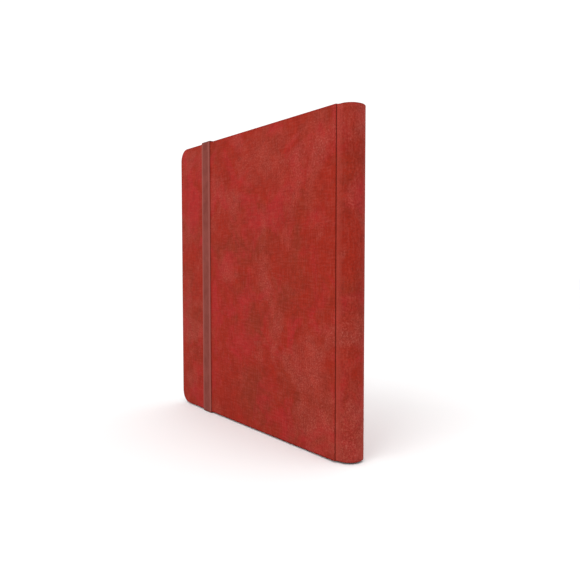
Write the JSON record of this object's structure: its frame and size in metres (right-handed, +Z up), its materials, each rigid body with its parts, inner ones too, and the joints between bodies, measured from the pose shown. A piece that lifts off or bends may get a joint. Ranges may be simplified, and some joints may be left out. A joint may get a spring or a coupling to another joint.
{
  "type": "card album",
  "caption": "Strap-closed book-style card album: two padded hinged covers, a rounded spine and a block of side-loading pocket pages.",
  "frame": {"origin": "middle of the bounding box at its lowest plane, the underside of the strap", "axes": "+Z up the album's height, +X from the fore-edge to the spine, -Y out of the front cover"},
  "size_m": [0.3116, 0.0348, 0.3208],
  "materials": {
    "cover_skin": "mottled red faux suede",
    "spine_skin": "mottled red faux suede",
    "board": "grey pressed board",
    "foam": "thin padding foam",
    "lining": "black cloth lining",
    "hinge_cloth": "dark red joint cloth",
    "elastic": "rose brown ribbed elastic",
    "binding": "black moulded comb",
    "page_sheet": "black embossed sheet",
    "pocket_film": "clear film"
  },
  "bodies": {
    "spine": {"spine_skin": "spine_skin", "spine_board": "board", "spine_lining": "lining", "front_hinge_strip": "hinge_cloth", "back_hinge_strip": "hinge_cloth", "binding_comb": "binding", "page_margins": "page_sheet"},
    "front_cover": {"front_cover_skin": "cover_skin", "front_cover_foam": "foam", "front_cover_board": "board", "front_cover_lining": "lining"},
    "back_cover": {"back_cover_skin": "cover_skin", "back_cover_foam": "foam", "back_cover_board": "board", "back_cover_lining": "lining", "elastic_strap": "elastic", "strap_bottom_wrap": "elastic"},
    "page_01": {"page_01_backing": "page_sheet", "page_01_pockets": "pocket_film"},
    "page_02": {"page_02_backing": "page_sheet", "page_02_pockets": "pocket_film"},
    "page_03": {"page_03_backing": "page_sheet", "page_03_pockets": "pocket_film"},
    "page_04": {"page_04_backing": "page_sheet", "page_04_pockets": "pocket_film"},
    "page_05": {"page_05_backing": "page_sheet", "page_05_pockets": "pocket_film"},
    "page_06": {"page_06_backing": "page_sheet", "page_06_pockets": "pocket_film"},
    "page_07": {"page_07_backing": "page_sheet", "page_07_pockets": "pocket_film"},
    "page_08": {"page_08_backing": "page_sheet", "page_08_pockets": "pocket_film"},
    "page_09": {"page_09_backing": "page_sheet", "page_09_pockets": "pocket_film"},
    "page_10": {"page_10_backing": "page_sheet", "page_10_pockets": "pocket_film"},
    "page_11": {"page_11_backing": "page_sheet", "page_11_pockets": "pocket_film"},
    "page_12": {"page_12_backing": "page_sheet", "page_12_pockets": "pocket_film"},
    "page_13": {"page_13_backing": "page_sheet", "page_13_pockets": "pocket_film"},
    "page_14": {"page_14_backing": "page_sheet", "page_14_pockets": "pocket_film"},
    "page_15": {"page_15_backing": "page_sheet", "page_15_pockets": "pocket_film"},
    "page_16": {"page_16_backing": "page_sheet", "page_16_pockets": "pocket_film"},
    "page_17": {"page_17_backing": "page_sheet", "page_17_pockets": "pocket_film"},
    "page_18": {"page_18_backing": "page_sheet", "page_18_pockets": "pocket_film"},
    "page_19": {"page_19_backing": "page_sheet", "page_19_pockets": "pocket_film"},
    "page_20": {"page_20_backing": "page_sheet", "page_20_pockets": "pocket_film"}
  },
  "joints": [
    {"name": "front_hinge", "type": "hinge", "parent": "spine", "child": "front_cover", "pos_m": [0.14125, -0.0133, 0.1604], "axis": [0, 0, 1], "range_deg": [0, 90], "deforming": ["elastic_strap", "front_hinge_strip", "back_hinge_strip"]},
    {"name": "back_hinge", "type": "hinge", "parent": "spine", "child": "back_cover", "pos_m": [0.14125, 0.0133, 0.1604], "axis": [0, 0, -1], "range_deg": [0, 90]},
    {"name": "page_01_hinge", "type": "hinge", "parent": "spine", "child": "page_01", "pos_m": [0.12975, -0.0114, 0.1604], "axis": [0, 0, 1], "range_deg": [0, 90]},
    {"name": "page_02_hinge", "type": "hinge", "parent": "spine", "child": "page_02", "pos_m": [0.12975, -0.0102, 0.1604], "axis": [0, 0, 1], "range_deg": [0, 90]},
    {"name": "page_03_hinge", "type": "hinge", "parent": "spine", "child": "page_03", "pos_m": [0.12975, -0.009, 0.1604], "axis": [0, 0, 1], "range_deg": [0, 90]},
    {"name": "page_04_hinge", "type": "hinge", "parent": "spine", "child": "page_04", "pos_m": [0.12975, -0.0078, 0.1604], "axis": [0, 0, 1], "range_deg": [0, 90]},
    {"name": "page_05_hinge", "type": "hinge", "parent": "spine", "child": "page_05", "pos_m": [0.12975, -0.0066, 0.1604], "axis": [0, 0, 1], "range_deg": [0, 90]},
    {"name": "page_06_hinge", "type": "hinge", "parent": "spine", "child": "page_06", "pos_m": [0.12975, -0.0054, 0.1604], "axis": [0, 0, 1], "range_deg": [0, 90]},
    {"name": "page_07_hinge", "type": "hinge", "parent": "spine", "child": "page_07", "pos_m": [0.12975, -0.0042, 0.1604], "axis": [0, 0, 1], "range_deg": [0, 90]},
    {"name": "page_08_hinge", "type": "hinge", "parent": "spine", "child": "page_08", "pos_m": [0.12975, -0.003, 0.1604], "axis": [0, 0, 1], "range_deg": [0, 90]},
    {"name": "page_09_hinge", "type": "hinge", "parent": "spine", "child": "page_09", "pos_m": [0.12975, -0.0018, 0.1604], "axis": [0, 0, 1], "range_deg": [0, 90]},
    {"name": "page_10_hinge", "type": "hinge", "parent": "spine", "child": "page_10", "pos_m": [0.12975, -0.0006, 0.1604], "axis": [0, 0, 1], "range_deg": [0, 90]},
    {"name": "page_11_hinge", "type": "hinge", "parent": "spine", "child": "page_11", "pos_m": [0.12975, 0.0006, 0.1604], "axis": [0, 0, -1], "range_deg": [0, 90]},
    {"name": "page_12_hinge", "type": "hinge", "parent": "spine", "child": "page_12", "pos_m": [0.12975, 0.0018, 0.1604], "axis": [0, 0, -1], "range_deg": [0, 90]},
    {"name": "page_13_hinge", "type": "hinge", "parent": "spine", "child": "page_13", "pos_m": [0.12975, 0.003, 0.1604], "axis": [0, 0, -1], "range_deg": [0, 90]},
    {"name": "page_14_hinge", "type": "hinge", "parent": "spine", "child": "page_14", "pos_m": [0.12975, 0.0042, 0.1604], "axis": [0, 0, -1], "range_deg": [0, 90]},
    {"name": "page_15_hinge", "type": "hinge", "parent": "spine", "child": "page_15", "pos_m": [0.12975, 0.0054, 0.1604], "axis": [0, 0, -1], "range_deg": [0, 90]},
    {"name": "page_16_hinge", "type": "hinge", "parent": "spine", "child": "page_16", "pos_m": [0.12975, 0.0066, 0.1604], "axis": [0, 0, -1], "range_deg": [0, 90]},
    {"name": "page_17_hinge", "type": "hinge", "parent": "spine", "child": "page_17", "pos_m": [0.12975, 0.0078, 0.1604], "axis": [0, 0, -1], "range_deg": [0, 90]},
    {"name": "page_18_hinge", "type": "hinge", "parent": "spine", "child": "page_18", "pos_m": [0.12975, 0.009, 0.1604], "axis": [0, 0, -1], "range_deg": [0, 90]},
    {"name": "page_19_hinge", "type": "hinge", "parent": "spine", "child": "page_19", "pos_m": [0.12975, 0.0102, 0.1604], "axis": [0, 0, -1], "range_deg": [0, 90]},
    {"name": "page_20_hinge", "type": "hinge", "parent": "spine", "child": "page_20", "pos_m": [0.12975, 0.0114, 0.1604], "axis": [0, 0, -1], "range_deg": [0, 90]}
  ],
  "couplings": [
    {"joint": "back_hinge", "follows": "front_hinge", "ratio": 1},
    {"joint": "page_01_hinge", "follows": "front_hinge", "ratio": 0.94},
    {"joint": "page_02_hinge", "follows": "front_hinge", "ratio": 0.8411},
    {"joint": "page_03_hinge", "follows": "front_hinge", "ratio": 0.7421},
    {"joint": "page_04_hinge", "follows": "front_hinge", "ratio": 0.6432},
    {"joint": "page_05_hinge", "follows": "front_hinge", "ratio": 0.5442},
    {"joint": "page_06_hinge", "follows": "front_hinge", "ratio": 0.4453},
    {"joint": "page_07_hinge", "follows": "front_hinge", "ratio": 0.3463},
    {"joint": "page_08_hinge", "follows": "front_hinge", "ratio": 0.2474},
    {"joint": "page_09_hinge", "follows": "front_hinge", "ratio": 0.1484},
    {"joint": "page_10_hinge", "follows": "front_hinge", "ratio": 0.0495},
    {"joint": "page_11_hinge", "follows": "front_hinge", "ratio": 0.0495},
    {"joint": "page_12_hinge", "follows": "front_hinge", "ratio": 0.1484},
    {"joint": "page_13_hinge", "follows": "front_hinge", "ratio": 0.2474},
    {"joint": "page_14_hinge", "follows": "front_hinge", "ratio": 0.3463},
    {"joint": "page_15_hinge", "follows": "front_hinge", "ratio": 0.4453},
    {"joint": "page_16_hinge", "follows": "front_hinge", "ratio": 0.5442},
    {"joint": "page_17_hinge", "follows": "front_hinge", "ratio": 0.6432},
    {"joint": "page_18_hinge", "follows": "front_hinge", "ratio": 0.7421},
    {"joint": "page_19_hinge", "follows": "front_hinge", "ratio": 0.8411},
    {"joint": "page_20_hinge", "follows": "front_hinge", "ratio": 0.94}
  ]
}
